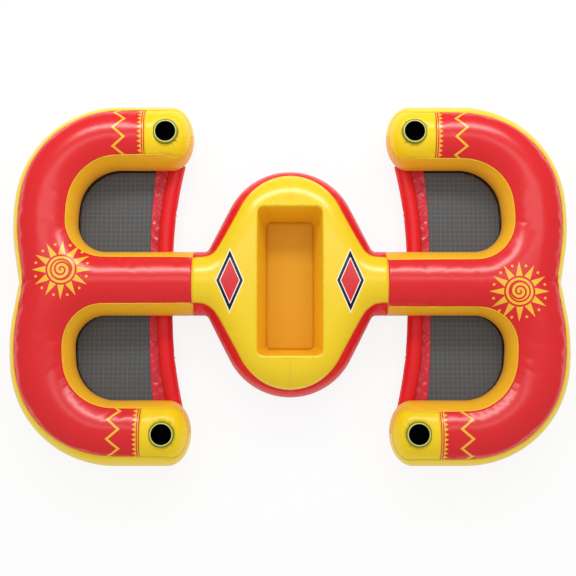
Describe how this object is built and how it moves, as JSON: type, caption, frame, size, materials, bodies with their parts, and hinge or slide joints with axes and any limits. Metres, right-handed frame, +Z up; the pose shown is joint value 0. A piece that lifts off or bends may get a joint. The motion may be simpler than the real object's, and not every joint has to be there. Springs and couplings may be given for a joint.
{
  "type": "inflatable floating lounge",
  "caption": "Inflatable water lounge with two E-shaped seat modules, mesh seats and cup holders, joined to a centre module with a drinks well.",
  "frame": {"origin": "on the ground, under the middle of the lounge", "axes": "+X from one backrest to the other, +Y from side to side, +Z up"},
  "size_m": [2.8736, 1.86, 0.3335],
  "materials": {
    "red_vinyl": "gloss",
    "yellow_vinyl": "gloss",
    "well_vinyl": "gloss",
    "inner_vinyl": "satin",
    "cup_plastic": "satin",
    "ring_vinyl": "gloss",
    "seat_mesh": "matte",
    "hem_strip": "matte",
    "flange_vinyl": "gloss",
    "valve_plastic": "satin",
    "valve_cap_plastic": "satin"
  },
  "bodies": {
    "lounge": {"west_top_panel": "red_vinyl", "west_bottom_panel": "red_vinyl", "west_outer_wall": "yellow_vinyl", "nw_seat_wall": "yellow_vinyl", "sw_seat_wall": "yellow_vinyl", "nw_end_patch": "yellow_vinyl", "sw_end_patch": "yellow_vinyl", "west_bulkhead": "inner_vinyl", "east_top_panel": "red_vinyl", "east_bottom_panel": "red_vinyl", "east_outer_wall": "yellow_vinyl", "ne_seat_wall": "yellow_vinyl", "se_seat_wall": "yellow_vinyl", "ne_end_patch": "yellow_vinyl", "se_end_patch": "yellow_vinyl", "east_bulkhead": "inner_vinyl", "centre_top_panel": "yellow_vinyl", "centre_bottom_panel": "red_vinyl", "centre_north_wall": "red_vinyl", "centre_south_wall": "red_vinyl", "well_wall": "well_vinyl", "well_floor": "well_vinyl", "north_web": "inner_vinyl", "south_web": "inner_vinyl", "nw_cup": "cup_plastic", "sw_cup": "cup_plastic", "ne_cup": "cup_plastic", "se_cup": "cup_plastic", "nw_cup_ring": "ring_vinyl", "sw_cup_ring": "ring_vinyl", "ne_cup_ring": "ring_vinyl", "se_cup_ring": "ring_vinyl", "nw_mesh_seat": "seat_mesh", "sw_mesh_seat": "seat_mesh", "ne_mesh_seat": "seat_mesh", "se_mesh_seat": "seat_mesh", "nw_seat_hem": "hem_strip", "sw_seat_hem": "hem_strip", "ne_seat_hem": "hem_strip", "se_seat_hem": "hem_strip", "nw_front_tube": "red_vinyl", "sw_front_tube": "red_vinyl", "ne_front_tube": "red_vinyl", "se_front_tube": "red_vinyl", "nw_front_flange": "flange_vinyl", "sw_front_flange": "flange_vinyl", "ne_front_flange": "flange_vinyl", "se_front_flange": "flange_vinyl", "west_valve": "valve_plastic", "east_valve": "valve_plastic", "centre_valve": "valve_plastic", "front_tube_valves": "valve_plastic"},
    "west_valve_cap": {"west_valve_cap": "valve_cap_plastic"},
    "east_valve_cap": {"east_valve_cap": "valve_cap_plastic"},
    "centre_valve_cap": {"centre_valve_cap": "valve_cap_plastic"},
    "nw_front_cap": {"nw_front_cap": "valve_cap_plastic"},
    "sw_front_cap": {"sw_front_cap": "valve_cap_plastic"},
    "ne_front_cap": {"ne_front_cap": "valve_cap_plastic"},
    "se_front_cap": {"se_front_cap": "valve_cap_plastic"}
  },
  "joints": [
    {"name": "west_valve_cap_hinge", "type": "hinge", "parent": "lounge", "child": "west_valve_cap", "pos_m": [-1.41003, -0.09328, 0.1046], "axis": [0.165, 0.9863, 0], "range_deg": [0, 150]},
    {"name": "east_valve_cap_hinge", "type": "hinge", "parent": "lounge", "child": "east_valve_cap", "pos_m": [1.41003, 0.09328, 0.1046], "axis": [-0.165, -0.9863, 0], "range_deg": [0, 150]},
    {"name": "centre_valve_cap_hinge", "type": "hinge", "parent": "lounge", "child": "centre_valve_cap", "pos_m": [0.14641, -0.54917, 0.1046], "axis": [-0.9048, -0.4258, 0], "range_deg": [0, 150]},
    {"name": "nw_front_cap_hinge", "type": "hinge", "parent": "lounge", "child": "nw_front_cap", "pos_m": [-0.60484, 0.37712, 0.05557], "axis": [-0.1145, -0.9934, 0], "range_deg": [0, 130]},
    {"name": "sw_front_cap_hinge", "type": "hinge", "parent": "lounge", "child": "sw_front_cap", "pos_m": [-0.60484, -0.37712, 0.05557], "axis": [0.1145, -0.9934, 0], "range_deg": [0, 130]},
    {"name": "ne_front_cap_hinge", "type": "hinge", "parent": "lounge", "child": "ne_front_cap", "pos_m": [0.60484, 0.37712, 0.05557], "axis": [-0.1145, 0.9934, 0], "range_deg": [0, 130]},
    {"name": "se_front_cap_hinge", "type": "hinge", "parent": "lounge", "child": "se_front_cap", "pos_m": [0.60484, -0.37712, 0.05557], "axis": [0.1145, 0.9934, 0], "range_deg": [0, 130]}
  ]
}
